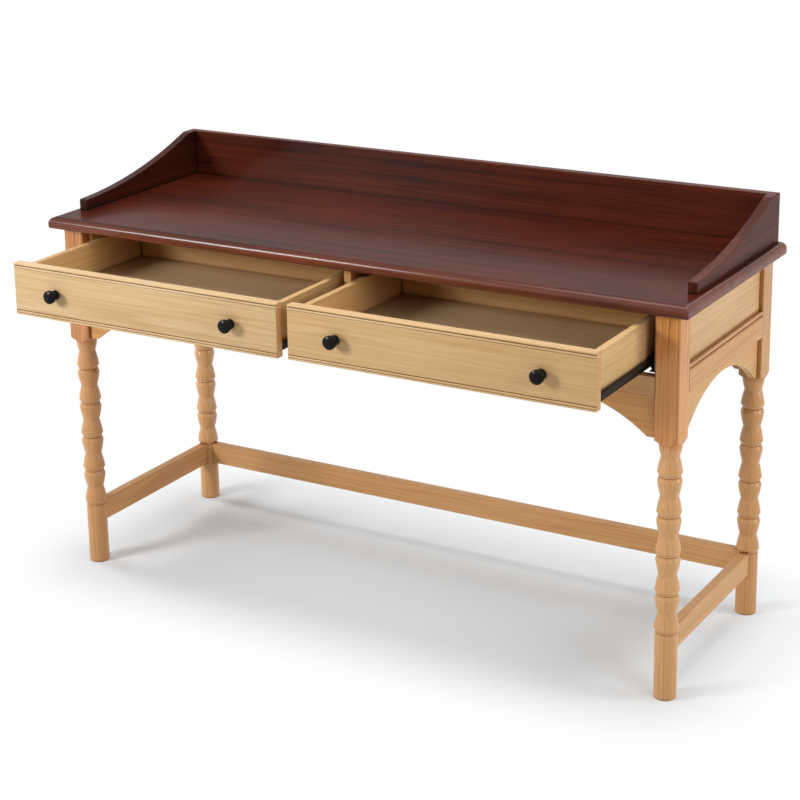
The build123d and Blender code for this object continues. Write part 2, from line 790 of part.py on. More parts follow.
# ---- Slides: runners on the drawer, channels in the case, a roller on each ----
roller_half = roller_width / 2
collar_end = roller_half + axle_play            # collar and head stop this far from the roller's middle
runner_y = (front_back_y, front_back_y + slide_length)
lip_y = (front_back_y, front_back_y + slide_length - lip_shortfall)
runner_face = box_x + sheet
channel_face = guide_x - sheet
channel_y = (channel_front_y, channel_front_y + slide_length)


def axle(face_x, y, sense):
    """Add an axle that stands on a face: collar, journal and head; sense is its direction in X."""
    head_end = roller_x + sense * (collar_end + axle_head)
    axle_span = tuple(sorted((face_x, head_end)))
    rod((axle_span[0], y, roller_z), axle_span[1] - axle_span[0], axle_radius, (1, 0, 0))
    for start, stop in ((face_x, roller_x - sense * collar_end), (roller_x + sense * collar_end, head_end)):
        first, last = sorted((start, stop))
        rod((first, y, roller_z), last - first, axle_head_radius, (1, 0, 0))


with BuildPart() as runner:
    block((box_x, runner_face), runner_y, (runner_bottom, runner_top))
    block((box_x - runner_flange, runner_face), runner_y, (runner_bottom, box_bottom))
    block((box_x, runner_face + runner_lip), lip_y, (lip_bottom, runner_top))
    axle(runner_face, rear_roller_y, 1)
    for spot_y in runner_screw_ys:
        rod((runner_screw_x, spot_y, runner_bottom), sheet, pilot_radius, (0, 0, 1), Mode.SUBTRACT)
save_pair_in_bays(runner, "drawer_runner", on_drawer=True)

with BuildPart() as channel:
    block((channel_face, guide_x), channel_y, (track_top - sheet, channel_top))
    block((guide_x - channel_reach, guide_x), channel_y, (track_top - sheet, track_top))
    block((guide_x - channel_lip, guide_x), channel_y, (channel_top - sheet, channel_top))
    axle(channel_face, front_roller_y, -1)
    for spot_y in slide_screw_ys:
        rod((channel_face, spot_y, roller_z), sheet, pilot_radius, (1, 0, 0), Mode.SUBTRACT)
save_pair_in_bays(channel, "bay_channel", on_drawer=False)

for stem, roller_y, on_drawer in (
    ("bay_roller", front_roller_y, False),
    ("drawer_roller", rear_roller_y, True),
):
    with BuildPart() as roller:
        start = (roller_x - roller_half, roller_y, roller_z)
        rod(start, roller_width, roller_radius, (1, 0, 0))
        chamfer(roller.edges().filter_by(GeomType.CIRCLE), length=roller_ease)
        rod(start, roller_width, axle_radius + axle_clearance, (1, 0, 0), Mode.SUBTRACT)
    save_pair_in_bays(roller, stem, on_drawer)

with BuildPart() as slide_screws:
    for side in (-1, 1):
        for mount_x, sense in ((partition_x, -1), (guide_x, 1)):
            for spot_y in slide_screw_ys:
                seat = (side * (mount_x - sense * sheet), spot_y, roller_z)
                screw(seat, sheet + screw_bite, screw_radius, (side * sense, 0, 0))
save(slide_screws, "slide_screws")

with BuildPart() as runner_screws:
    for side in (-1, 1):
        for spot_y in runner_screw_ys:
            seat = (bay_x + side * (runner_screw_x - bay_x), spot_y, runner_bottom)
            screw(seat, sheet + screw_bite, screw_radius, (0, 0, 1))
save_in_bays(runner_screws, "drawer_runner_screws", on_drawer=True)
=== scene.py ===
"""Surfaces, finishes, light and camera for a shaker sewing desk.

The packed desk is the fixed frame. Each operator below finishes one kind of piece on it: the pine frame,
the stained top, the drawers, the knobs and the slides. Metres, X along the desk, -Y the front, Z up.
"""

import math

import bpy
import numpy as np
from bpy.props import FloatProperty, FloatVectorProperty, PointerProperty
from mathutils import Matrix, Vector


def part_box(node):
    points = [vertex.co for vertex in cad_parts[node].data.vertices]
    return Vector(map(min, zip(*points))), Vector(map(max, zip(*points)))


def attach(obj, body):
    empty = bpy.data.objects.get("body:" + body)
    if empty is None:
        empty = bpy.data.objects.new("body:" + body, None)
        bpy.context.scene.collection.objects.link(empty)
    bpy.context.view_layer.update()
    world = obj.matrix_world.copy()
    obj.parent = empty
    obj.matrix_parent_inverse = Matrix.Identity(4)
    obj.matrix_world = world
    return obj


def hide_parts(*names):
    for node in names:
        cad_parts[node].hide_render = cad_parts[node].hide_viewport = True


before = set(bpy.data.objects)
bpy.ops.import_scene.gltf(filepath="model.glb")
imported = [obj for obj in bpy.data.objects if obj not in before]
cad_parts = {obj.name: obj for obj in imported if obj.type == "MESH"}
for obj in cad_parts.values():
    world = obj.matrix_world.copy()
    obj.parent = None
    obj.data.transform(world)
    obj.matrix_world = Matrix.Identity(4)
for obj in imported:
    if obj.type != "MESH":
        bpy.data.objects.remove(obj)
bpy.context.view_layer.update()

bl_info = {
    "name": "Shaker Sewing Desk Finish",
    "version": (1, 0, 0),
    "blender": (4, 5, 0),
    "location": "3D View > Sidebar > Sewing Desk",
    "description": "Pine, stained top, knobs, slides and a pale studio for a sewing desk",
    "category": "Object",
}


# ---- Node trees ----

WHITE = (1.0, 1.0, 1.0, 1.0)
HOLLOW_SAMPLES = 8

# A spot counts as lying in the open where it sees this share of the sky or more.
OPEN_SKY = 0.97


def colour(rgb):
    """Give a colour socket's four values from three."""
    return (*rgb, 1.0)


class Nodes:
    """A node tree that is built one node at a time."""

    def __init__(self, tree):
        """Start on a tree."""
        self.tree = tree

    def add(self, kind, inputs=None, **settings):
        """Add a node with these settings, and set or link its inputs."""
        made = self.tree.nodes.new(kind)
        for key, value in settings.items():
            setattr(made, key, value)
        for key, value in (inputs or {}).items():
            self.feed(made.inputs[key], value)
        return made

    def feed(self, socket, value):
        """Link an output to a socket, or set the socket's own value."""
        if isinstance(value, bpy.types.NodeSocket):
            self.tree.links.new(value, socket)
        else:
            socket.default_value = value

    def sums(self, operation, first, second=0.0, third=0.0):
        """Return the result of a sum on up to three numbers."""
        return self.add("ShaderNodeMath", {0: first, 1: second, 2: third}, operation=operation).outputs[0]

    def vectors(self, operation, first, second=(0.0, 0.0, 0.0)):
        """Return the result of a sum on vectors: a number for LENGTH, and a vector otherwise."""
        made = self.add("ShaderNodeVectorMath", {0: first, 1: second}, operation=operation)
        return made.outputs["Value" if operation == "LENGTH" else "Vector"]

    def direct_rays(self):
        """Return 1 for a ray from the camera, a mirror or glass, and 0 for one that carries light."""
        path = self.add("ShaderNodeLightPath").outputs
        seen = self.sums("MAXIMUM", path["Is Camera Ray"], path["Is Glossy Ray"])
        return self.sums("MAXIMUM", seen, path["Is Transmission Ray"])


class Finish(Nodes):
    """A material whose nodes start from a Principled shader and the object's own coordinates."""

    def __init__(self, name):
        """Start a material of this name."""
        self.material = bpy.data.materials.new(name)
        self.material.use_nodes = True
        super().__init__(self.material.node_tree)
        self.shader = self.tree.nodes["Principled BSDF"]
        self.place = self.add("ShaderNodeTexCoord").outputs["Object"]

    def moved(self, vector, location=(0, 0, 0), rotation=(0, 0, 0), scale=(1, 1, 1)):
        """Return coordinates that are scaled, then turned, then moved."""
        inputs = {"Vector": vector, "Location": location, "Rotation": rotation, "Scale": scale}
        return self.add("ShaderNodeMapping", inputs).outputs[0]

    def noise(self, vector, scale, detail=2.0, roughness=0.5):
        """Return smooth noise between 0 and 1."""
        inputs = {"Vector": vector, "Scale": scale, "Detail": detail, "Roughness": roughness}
        return self.add("ShaderNodeTexNoise", inputs).outputs["Fac"]

    def ramp(self, factor, *stops):
        """Return the grey that the stops, each a place and its grey, give for a factor."""
        made = self.add("ShaderNodeValToRGB", {"Fac": factor})
        line = made.color_ramp.elements
        while len(line) < len(stops):
            line.new(0.5)
        for element, (place, grey) in zip(line, stops):
            element.position = place
            element.color = (grey, grey, grey, 1.0)
        return made.outputs["Color"]

    def remap(self, value, low, high, to_low, to_high):
        """Return a value carried from one range to another, and held inside it."""
        names = ("From Min", "From Max", "To Min", "To Max")
        inputs = dict(zip(names, (low, high, to_low, to_high)), Value=value)
        return self.add("ShaderNodeMapRange", inputs).outputs["Result"]

    def blend(self, factor, first, second, mode="MIX"):
        """Return two colours mixed by a factor: the node takes colours at 6 and 7, and gives one at 2."""
        made = self.add("ShaderNodeMix", data_type="RGBA", blend_type=mode)
        self.feed(made.inputs[0], factor)
        self.feed(made.inputs[6], first)
        self.feed(made.inputs[7], second)
        return made.outputs[2]

    def times(self, first, second):
        """Return two colours multiplied."""
        return self.blend(1.0, first, second, "MULTIPLY")

    def grey(self, value):
        """Return a grey colour from a number."""
        inputs = {"Red": value, "Green": value, "Blue": value}
        return self.add("ShaderNodeCombineColor", inputs).outputs["Color"]

    def hollow(self, reach, deep):
        """Return how far a spot lies in a groove or a corner no wider than the reach: 0 in the open, and 1
        where the share of open sky is down to the deep value.
        """
        made = self.add("ShaderNodeAmbientOcclusion", {"Distance": reach}, samples=HOLLOW_SAMPLES)
        return self.remap(made.outputs["AO"], deep, OPEN_SKY, 1.0, 0.0)

    def outside(self, middle, half):
        """Return the distance outside a box: the length of what is left of the place, measured from the
        box's middle, after the half sides are taken away.
        """
        folded = self.vectors("ABSOLUTE", self.vectors("SUBTRACT", self.place, middle))
        left = self.vectors("MAXIMUM", self.vectors("SUBTRACT", folded, half))
        return self.vectors("LENGTH", left)

    def relief(self, height, distance):
        """Bend the shader's normals by a height."""
        bump = self.add("ShaderNodeBump", {"Height": height, "Distance": distance})
        self.feed(self.shader.inputs["Normal"], bump.outputs["Normal"])

    def surface(self, look, base, roughness):
        """Give the shader this colour and roughness, and the shine and the varnish of the look."""
        inputs = {
            "Base Color": base,
            "Roughness": roughness,
            "Specular IOR Level": look.shine,
            "Coat Weight": look.varnish,
            "Coat Roughness": look.varnish_roughness,
        }
        for name, value in inputs.items():
            self.feed(self.shader.inputs[name], value)


# ---- Looks ----


def length(label, told, default, least):
    """Return a property that holds a length in metres."""
    return FloatProperty(name=label, description=told, subtype="DISTANCE", unit="LENGTH",
                         default=default, min=least, precision=5)


def look_group(name, note, colours, numbers, values):
    """Make a property group of these colours and numbers, with the values as its defaults."""
    fields = {}
    for key, (label, told) in colours.items():
        fields[key] = FloatVectorProperty(name=label, description=told, subtype="COLOR",
                                          default=values[key], min=0, max=1)
    for key, (label, told, kind) in numbers.items():
        if kind == "DISTANCE":
            fields[key] = length(label, told, values[key], 0)
        else:
            fields[key] = FloatProperty(name=label, description=told, subtype=kind,
                                        default=values[key], min=0, precision=5)
    return type(name, (bpy.types.PropertyGroup,), {"__doc__": note, "__annotations__": fields})


COAT_NUMBERS = {
    "roughness": ("Roughness", "Roughness of the surface", "FACTOR"),
    "shine": ("Shine", "Specular level of the surface", "FACTOR"),
    "varnish": ("Varnish", "Share of clear varnish", "FACTOR"),
    "varnish_roughness": ("Varnish roughness", "Roughness of the varnish", "FACTOR"),
}
WOOD_COLOURS = {
    "pale": ("Early wood", "Pale part of a ring"),
    "dark": ("Late wood", "Dark part of a ring"),
    "streak": ("Streak", "Streaks along the grain"),
    "patch": ("Patch", "Slow patches"),
    # Painted shade and gathered finish: grooves, corners and the drawers' insides take this darker colour
    # where they see little sky.
    "pool": ("Gathered finish", "Finish that has gathered in grooves and corners"),
}
WOOD_NUMBERS = {
    "ring_width": ("Ring width", "From one ring to the next", "DISTANCE"),
    "ring_contrast": ("Ring contrast", "Strength of the rings", "FACTOR"),
    "late_wood": ("Late wood start", "Share of a ring where its dark line begins", "FACTOR"),
    "streak_scale": ("Streak scale", "Streaks in a metre across the grain", "NONE"),
    "streak_contrast": ("Streak contrast", "Strength of the streaks", "FACTOR"),
    "patch_contrast": ("Patch contrast", "Strength of the patches", "FACTOR"),
    "fibre_contrast": ("Fibre contrast", "Strength of the fine fibres", "FACTOR"),
    # These three numbers set how strongly and how widely the painted shade and gathered finish darken
    # grooves and corners.
    "gather": ("Gathering", "Strength of the finish gathered in grooves", "FACTOR"),
    "gather_reach": ("Gathering reach", "Width of the grooves that finish gathers in", "DISTANCE"),
    "gather_deep": ("Gathering depth", "Share of open sky at which the finish is fully gathered", "FACTOR"),
    "wander": ("Wander", "How far the rings wander", "DISTANCE"),
    "wander_scale": ("Wander scale", "Wanderings in a metre across the grain", "NONE"),
    "grain_stretch": ("Grain stretch", "Scale of the wandering along the grain", "NONE"),
    "relief": ("Relief", "Height of the grain", "DISTANCE"),
    **COAT_NUMBERS,
}
PLAIN_COLOURS = {"base": ("Colour", "Colour of the surface")}
PLAIN_NUMBERS = {"metal": ("Metal", "1 for bare metal and 0 for a coat", "FACTOR"), **COAT_NUMBERS}


def wood_look(name, note, values):
    """Make the property group of one kind of wood."""
    return look_group(name, note, WOOD_COLOURS, WOOD_NUMBERS, values)


def plain_look(name, note, values):
    """Make the property group of one plain coat or metal."""
    return look_group(name, note, PLAIN_COLOURS, PLAIN_NUMBERS, values)


CASE_VALUES = {
    "pale": (0.68, 0.385, 0.165), "dark": (0.40, 0.165, 0.050), "streak": (0.52, 0.245, 0.085),
    "patch": (0.76, 0.46, 0.215), "pool": (0.22, 0.068, 0.019),
    "ring_width": 0.0085, "ring_contrast": 0.5, "late_wood": 0.6,
    "streak_scale": 150.0, "streak_contrast": 0.55, "patch_contrast": 0.35, "fibre_contrast": 0.12,
    "gather": 0.9, "gather_reach": 0.007, "gather_deep": 0.45,
    "wander": 0.05, "wander_scale": 5.0, "grain_stretch": 0.16,
    "roughness": 0.42, "shine": 0.2, "relief": 0.00012, "varnish": 0.15, "varnish_roughness": 0.30,
}
LEG_VALUES = dict(
    CASE_VALUES, dark=(0.27, 0.095, 0.026), pool=(0.24, 0.085, 0.026), gather=0.75, ring_width=0.0065,
    ring_contrast=0.95, late_wood=0.72, grain_stretch=0.10, streak_scale=230.0, streak_contrast=0.8,
    fibre_contrast=0.16, shine=0.25, varnish=0.5, varnish_roughness=0.12)
# The fronts' higher depth value darkens their grooves more, painting the shade that falls under the beads.
FRONT_VALUES = dict(
    CASE_VALUES, pale=(0.75, 0.52, 0.265), dark=(0.55, 0.30, 0.105), streak=(0.61, 0.37, 0.150),
    patch=(0.80, 0.59, 0.32), pool=(0.30, 0.125, 0.042), ring_width=0.011, ring_contrast=0.52,
    streak_scale=120.0, streak_contrast=0.7, fibre_contrast=0.14, gather_deep=0.6,
    varnish=0.3, varnish_roughness=0.24)
BOX_VALUES = dict(
    FRONT_VALUES, pale=(0.64, 0.40, 0.175), dark=(0.48, 0.25, 0.085), streak=(0.54, 0.31, 0.120),
    patch=(0.68, 0.45, 0.215), pool=(0.12, 0.045, 0.015), shine=0.15, varnish=0.05, gather_deep=0.45)
# The plywood's wide reach paints the shade that falls near the drawers' walls.
PLY_VALUES = dict(
    BOX_VALUES, pale=(0.83, 0.58, 0.32), dark=(0.66, 0.41, 0.19), streak=(0.65, 0.42, 0.205),
    patch=(0.87, 0.65, 0.38), pool=(0.24, 0.09, 0.03), gather=0.5, gather_reach=0.045, gather_deep=0.22)
STAIN_VALUES = dict(
    CASE_VALUES, pale=(0.071, 0.0132, 0.0058), dark=(0.018, 0.0043, 0.0026),
    streak=(0.017, 0.0043, 0.0026), patch=(0.098, 0.0170, 0.0066), pool=(0.006, 0.002, 0.0015),
    ring_width=0.013, ring_contrast=0.6, streak_scale=70.0, streak_contrast=0.92,
    patch_contrast=0.5, fibre_contrast=0.3, gather=0.7, roughness=0.42, shine=0.02, relief=0.00006,
    varnish=0.21, varnish_roughness=0.16)
KNOB_VALUES = {
    "base": (0.006, 0.006, 0.006), "metal": 0.0, "roughness": 0.28, "shine": 0.04,
    "varnish": 0.12, "varnish_roughness": 0.12,
}
SLIDE_VALUES = {
    "base": (0.010, 0.008, 0.007), "metal": 0.0, "roughness": 0.5, "shine": 0.15,
    "varnish": 0.0, "varnish_roughness": 0.03,
}
ZINC_VALUES = {
    "base": (0.45, 0.45, 0.44), "metal": 1.0, "roughness": 0.35, "shine": 0.5,
    "varnish": 0.0, "varnish_roughness": 0.03,
}

SewingDeskPine = wood_look("SewingDeskPine", "The pine of the rails, aprons and stretchers", CASE_VALUES)
SewingDeskLeg = wood_look("SewingDeskLeg", "The pine of the turned legs", LEG_VALUES)
SewingDeskFront = wood_look("SewingDeskFront", "The paler pine of the fronts and panels", FRONT_VALUES)
SewingDeskBox = wood_look("SewingDeskBox", "The planed wood of the drawer boxes", BOX_VALUES)
SewingDeskPly = wood_look("SewingDeskPly", "The plywood of the drawer bottoms", PLY_VALUES)
SewingDeskStain = wood_look("SewingDeskStain", "The dark stain of the worktop and gallery", STAIN_VALUES)
SewingDeskKnob = plain_look("SewingDeskKnob", "The black paint of the knobs", KNOB_VALUES)
SewingDeskSlide = plain_look("SewingDeskSlide", "The black coat of the slides", SLIDE_VALUES)
SewingDeskZinc = plain_look("SewingDeskZinc", "The zinc of the screws", ZINC_VALUES)


# ---- Wood ----

TURN_TO_X = {
    "X": (0.0, 0.0, 0.0),
    "Y": (0.0, 0.0, -math.pi / 2),
    "Z": (0.0, math.pi / 2, 0.0),
}

# A stretch is along the grain, then across it both ways. A scale is in waves to the metre. A pair of noise
# values is where an effect starts and where it is full.
JITTER_STRETCH = (0.03, 1.0, 1.0)
JITTER_SCALE = 45.0
JITTER_RINGS = 4.0
STREAK_STRETCH = (0.02, 1.0, 1.0)
FIBRE_STRETCH = (0.012, 1.0, 1.0)
FIBRE_SCALE = 1100.0
FIBRE_NOISE = (0.2, 0.8)
FIBRE_HEIGHT = 0.6
RING_HEIGHT = -0.4
PATCH_STRETCH = (0.35, 1.0, 1.0)
PATCH_SCALE = 9.0
SLOW_NOISE = (0.35, 0.7)
GLOSS_NOISE = (0.6, 1.4)
GLOSS_SPREAD = 0.1

# How dark a ring is where its late wood starts, and how far through the ring it is darkest.
EARLY_SHARE = 0.25
DARKEST_PLACE = 0.9


def ring_band(made, centred, look):
    """Return how dark the rings are, from 0 to 1, at coordinates whose X line is the tree's heart.

    The distance from the heart is bent by slow noise that is long along the grain, and by finer jitter. A
    ring is where it passes a whole number of ring widths. Inside a ring the wood darkens slowly up to the
    late wood, then fast, and falls back at once.
    """
    distance = made.vectors("LENGTH", made.vectors("MULTIPLY", centred, (0.0, 1.0, 1.0)))
    drift = made.moved(centred, scale=(look.grain_stretch, 1.0, 1.0))
    wander = made.noise(drift, look.wander_scale)
    bent = made.sums("MULTIPLY_ADD", wander, look.wander, distance)
    jitter = made.noise(made.moved(centred, scale=JITTER_STRETCH), JITTER_SCALE, detail=1.0)
    bent = made.sums("MULTIPLY_ADD", jitter, JITTER_RINGS * look.ring_width, bent)
    rings = made.sums("FRACT", made.sums("DIVIDE", bent, look.ring_width))
    return made.ramp(rings, (0.0, 0.0), (look.late_wood, EARLY_SHARE), (DARKEST_PLACE, 1.0), (1.0, 0.0))


def wood(name, along, heart, look, tone, tint=None):
    """Make the material of one board.

    The coordinates are turned so that the grain, which runs along an axis of the desk, lies along X. Then
    they are moved so that the tree's heart, given by its place across the grain, lies on the X line.
    Streaks, slow patches and fine fibres lie over the rings, and the finish is darker where it has gathered
    in grooves and corners. The tone lightens or darkens the board. A tint is a function that takes the
    material and its colour so far, and returns another colour.
    """
    made = Finish(name)
    grain = made.moved(made.place, rotation=TURN_TO_X[along])
    centred = made.moved(grain, location=(0.0, -heart[0], -heart[1]))
    band = ring_band(made, centred, look)
    drawn_out = made.moved(centred, scale=STREAK_STRETCH)
    streaks = made.noise(drawn_out, look.streak_scale, detail=3.0, roughness=0.6)
    fibres = made.noise(made.moved(centred, scale=FIBRE_STRETCH), FIBRE_SCALE, roughness=0.7)
    patches = made.noise(made.moved(centred, scale=PATCH_STRETCH), PATCH_SCALE, detail=1.0)

    base = made.blend(made.sums("MULTIPLY", band, look.ring_contrast), colour(look.pale), colour(look.dark))
    streak_share = made.remap(streaks, *SLOW_NOISE, 0.0, look.streak_contrast)
    base = made.blend(streak_share, base, colour(look.streak))
    patch_share = made.remap(patches, *SLOW_NOISE, 0.0, look.patch_contrast)
    base = made.blend(patch_share, base, colour(look.patch))
    fibre_tone = made.remap(fibres, *FIBRE_NOISE, 1.0 - look.fibre_contrast, 1.0 + look.fibre_contrast)
    base = made.times(base, made.grey(fibre_tone))
    base = made.times(base, colour(tone))
    if tint:
        base = tint(made, base)
    # Painted shade and gathered finish: where grooves, corners and the drawers' insides see little sky, the
    # wood darkens towards the look's darker colour.
    darkened = made.sums("MULTIPLY", made.hollow(look.gather_reach, look.gather_deep), look.gather)
    base = made.blend(darkened, base, colour(look.pool))

    slow = made.sums("ADD", streaks, patches)
    made.surface(look, base, made.remap(slow, *GLOSS_NOISE, look.roughness, look.roughness + GLOSS_SPREAD))
    fibre_height = made.sums("MULTIPLY", fibres, FIBRE_HEIGHT)
    made.relief(made.sums("ADD", fibre_height, made.sums("MULTIPLY", band, RING_HEIGHT)), look.relief)
    return made.material


PLAIN = (1.0, 1.0, 1.0)

# Each board: the axis of its grain, the place of the tree's heart across the grain, and its tone.
PINE_BOARDS = {
    "stretcher_left": ("Y", (-0.60, 0.02), (1.0, 0.95, 0.86)),
    "stretcher_right": ("Y", (0.60, 0.02), PLAIN),
    "stretcher_rear": ("X", (0.25, 0.05), PLAIN),
    "front_rail": ("X", (-0.20, 0.55), (0.9, 0.9, 0.9)),
    "front_apron": ("X", (-0.25, 0.60), (1.03, 0.98, 0.84)),
    "rear_panel": ("X", (0.40, 0.60), PLAIN),
    "rear_apron": ("X", (0.45, 0.50), PLAIN),
    "side_rail_left": ("Y", (0.70, 0.70), PLAIN),
    "side_rail_right": ("Y", (-0.70, 0.55), PLAIN),
    "side_apron_left": ("Y", (0.72, 0.45), PLAIN),
    "side_apron_right": ("Y", (-0.72, 0.45), (1.05, 1.12, 1.12)),
    "centre_partition": ("Y", (0.05, 0.60), PLAIN),
    "drawer_guide_left": ("Y", (0.60, 0.60), PLAIN),
    "drawer_guide_right": ("Y", (-0.60, 0.60), PLAIN),
    "top_blocks": ("X", (0.20, 0.60), PLAIN),
    "gallery_dowels": ("Z", (0.20, 0.60), PLAIN),
}
FRONT_BOARDS = {
    "left": ("X", (-0.25, 0.60), (0.95, 0.95, 0.98)),
    "right": ("X", (-0.28, 0.58), (0.93, 0.88, 0.81)),
}
PANEL_BOARDS = {
    "side_panel_left": ("Y", (0.75, 0.60), (0.94, 0.87, 0.79)),
    "side_panel_right": ("Y", (-0.72, 0.62), (0.94, 0.87, 0.79)),
}
BOX_BOARDS = {
    "left_drawer_side_left": ("Y", (0.62, 0.60), PLAIN),
    "left_drawer_side_right": ("Y", (0.02, 0.60), PLAIN),
    "right_drawer_side_left": ("Y", (-0.02, 0.60), PLAIN),
    "right_drawer_side_right": ("Y", (-0.62, 0.60), (1.10, 1.16, 1.24)),
    "left_drawer_back": ("X", (0.08, 0.58), PLAIN),
    "right_drawer_back": ("X", (0.08, 0.56), PLAIN),
}
PLY_BOARDS = {
    "left_drawer_bottom": ("X", (-0.10, 0.30), PLAIN),
    "right_drawer_bottom": ("X", (-0.10, 0.25), PLAIN),
}
TOP_BOARDS = {
    "worktop": ("X", (0.05, 0.30), (1.0, 0.92, 0.82)),
    "gallery_back": ("X", (0.42, 0.70), (1.48, 1.55, 1.5)),
    "gallery_left": ("Y", (0.70, 0.70), (0.74, 0.82, 0.86)),
    "gallery_right": ("Y", (-0.70, 0.70), (1.38, 1.75, 2.1)),
}


def paint(node, material):
    """Give a CAD node this one material."""
    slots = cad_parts[node].material_slots
    if not slots:
        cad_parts[node].data.materials.append(material)
    for slot in slots:
        slot.material = material


def finish_boards(boards, look, kind, **tints):
    """Give each board a material of its own, with the tint that is given under the board's name, if any."""
    for node, (along, heart, tone) in boards.items():
        paint(node, wood(f"{kind} {node}", along, heart, look, tone, tints.get(node)))


# ---- Legs ----

# Each leg: the tone of the whole leg, and the tone that its square block has on top of that. The block tone
# is partly the block's darker wood and partly painted shade, most of all on the front right leg, whose
# block stands in the open right drawer's shadow.
LEG_TONES = {
    "leg_front_left": ((0.96, 0.85, 0.78), (0.98, 0.90, 0.80)),
    "leg_front_right": ((1.17, 1.19, 1.13), (0.94, 0.73, 0.51)),
    "leg_rear_left": ((1.25, 1.30, 1.42), (0.90, 0.81, 0.69)),
    "leg_rear_right": ((0.91, 0.80, 0.60), (1.0, 1.02, 0.97)),
}

# How far beside a leg the heart of its tree lies.
LEG_HEART_X = 0.231
LEG_HEART_Y = 0.095

# The height where the turned part ends, and the height over which the finish changes there.
BLOCK_FOOT = 0.484
BLOCK_FADE = 0.01
TURNED_COLOUR = (0.64, 0.34, 0.133)
TURNED_CALM = 0.55


def leg_tint(block_wood_and_shade):
    """Return the tint that gives a leg's square block its own tone, and its turned part a calmer grain."""

    def tint(made, base):
        """Return the leg's colour, changed from the turned part's to the block's at the block's foot."""
        height = made.add("ShaderNodeSeparateXYZ", {0: made.place}).outputs["Z"]
        share = made.remap(height, BLOCK_FOOT, BLOCK_FOOT + BLOCK_FADE, 0.0, 1.0)
        turned = made.blend(TURNED_CALM, base, colour(TURNED_COLOUR))
        return made.blend(share, turned, made.times(base, colour(block_wood_and_shade)))

    return tint


class SEWINGDESK_OT_legs(bpy.types.Operator):
    """Finish the four turned legs"""

    bl_idname = "sewingdesk.legs"
    bl_label = "Legs"

    def execute(self, context):
        """Give each leg a grain whose heart lies beside the leg, so that the rings stand upright on it."""
        look = context.scene.sewing_desk_leg
        for node, (tone, block_wood_and_shade) in LEG_TONES.items():
            low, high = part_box(node)
            middle = (low + high) / 2
            heart = (middle.y + LEG_HEART_Y, -(middle.x + LEG_HEART_X))
            paint(node, wood(f"turned pine {node}", "Z", heart, look, tone, leg_tint(block_wood_and_shade)))
        return {"FINISHED"}


# ---- Boards of the case and of the drawer boxes ----


class SEWINGDESK_OT_frame(bpy.types.Operator):
    """Finish the rails, aprons, stretchers and the boards inside the case"""

    bl_idname = "sewingdesk.frame"
    bl_label = "Frame"

    def execute(self, context):
        """Give each pine board its own grain."""
        finish_boards(PINE_BOARDS, context.scene.sewing_desk_pine, "pine")
        return {"FINISHED"}


class SEWINGDESK_OT_panels(bpy.types.Operator):
    """Finish the panels in the sides of the case"""

    bl_idname = "sewingdesk.panels"
    bl_label = "Side Panels"

    def execute(self, context):
        """Give each panel its own grain."""
        finish_boards(PANEL_BOARDS, context.scene.sewing_desk_front, "pale pine")
        return {"FINISHED"}


class SEWINGDESK_OT_boxes(bpy.types.Operator):
    """Finish the drawer boxes and their bottoms"""

    bl_idname = "sewingdesk.boxes"
    bl_label = "Drawer Boxes"

    def execute(self, context):
        """Give the box boards and the plywood their grain."""
        finish_boards(BOX_BOARDS, context.scene.sewing_desk_box, "box wood")
        finish_boards(PLY_BOARDS, context.scene.sewing_desk_ply, "plywood")
        return {"FINISHED"}


# ---- Worktop and gallery ----

# The worktop's rounded nose is made paler and bluer as a painted sheen, where its rounding shows the light.
NOSE_WIDTH = 0.010
NOSE_PAINTED_SHEEN = (2.75, 4.3, 5.9)
NOSE_VARNISH = 0.6
FLAT_VARNISH = 0.2


def nose_painted_sheen(made, base):
    """Return the worktop's colour made paler on its rounded edge, and the varnish thicker there."""
    low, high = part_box("worktop")
    middle = (low + high) / 2
    half = (high - low) / 2 - Vector((NOSE_WIDTH, NOSE_WIDTH, 0.0))
    rim = made.remap(made.outside(middle, half), 0.0, NOSE_WIDTH, 0.0, 1.0)
    made.feed(made.shader.inputs["Coat Weight"], made.remap(rim, 0.0, 1.0, FLAT_VARNISH, NOSE_VARNISH))
    return made.blend(rim, base, made.times(base, colour(NOSE_PAINTED_SHEEN)))


class SEWINGDESK_OT_top(bpy.types.Operator):
    """Finish the stained worktop and gallery"""

    bl_idname = "sewingdesk.top"
    bl_label = "Worktop and Gallery"

    def execute(self, context):
        """Give each stained board its own grain, and the worktop its paler nose."""
        look = context.scene.sewing_desk_stain
        finish_boards(TOP_BOARDS, look, "stained wood", worktop=nose_painted_sheen)
        return {"FINISHED"}


# ---- Drawer fronts ----

BEAD_STEPS = 11
ROUND_STEPS = 5
SHARP_ANGLE = math.radians(28)

# The painted highlight on the upper mouldings lies between these two depths below a front's upper edge.
ARRIS_TOP = 0.0050
ARRIS_FOOT = 0.0122
ARRIS_FADE = 0.0015
ARRIS_PAINTED_HIGHLIGHT = (1.15, 1.26, 1.45)
END_WIDTH = 0.0010
END_TONE = (0.92, 0.76, 0.66)


class SewingDeskMoulding(bpy.types.PropertyGroup):
    """The moulded edge of the drawer fronts"""

    outer_bead: length("Outer bead", "Half-round bead at the top and the foot", 0.0046, 0.001)
    inner_bead: length("Inner bead", "Height of the flat bead next to the field", 0.0040, 0.001)
    inner_depth: length("Inner bead depth", "Depth of the flat bead next to the field", 0.0009, 0.0002)
    groove_width: length("Groove width", "Groove under the top bead, and under the field", 0.0008, 0.0002)
    fine_groove: length("Fine groove", "Groove under each of the flat beads", 0.0003, 0.0001)
    groove_depth: length("Groove depth", "Floor of a groove behind the edge of its bead", 0.0003, 0.0001)
    field_back: length("Field setback", "Field behind the beads' foremost line", 0.0006, 0)
    field_round: length("Field round", "Radius of the field's upper and lower edge", 0.0016, 0.0005)
    end_round: length("End round", "Radius of the edges round each end", 0.0012, 0.0002)


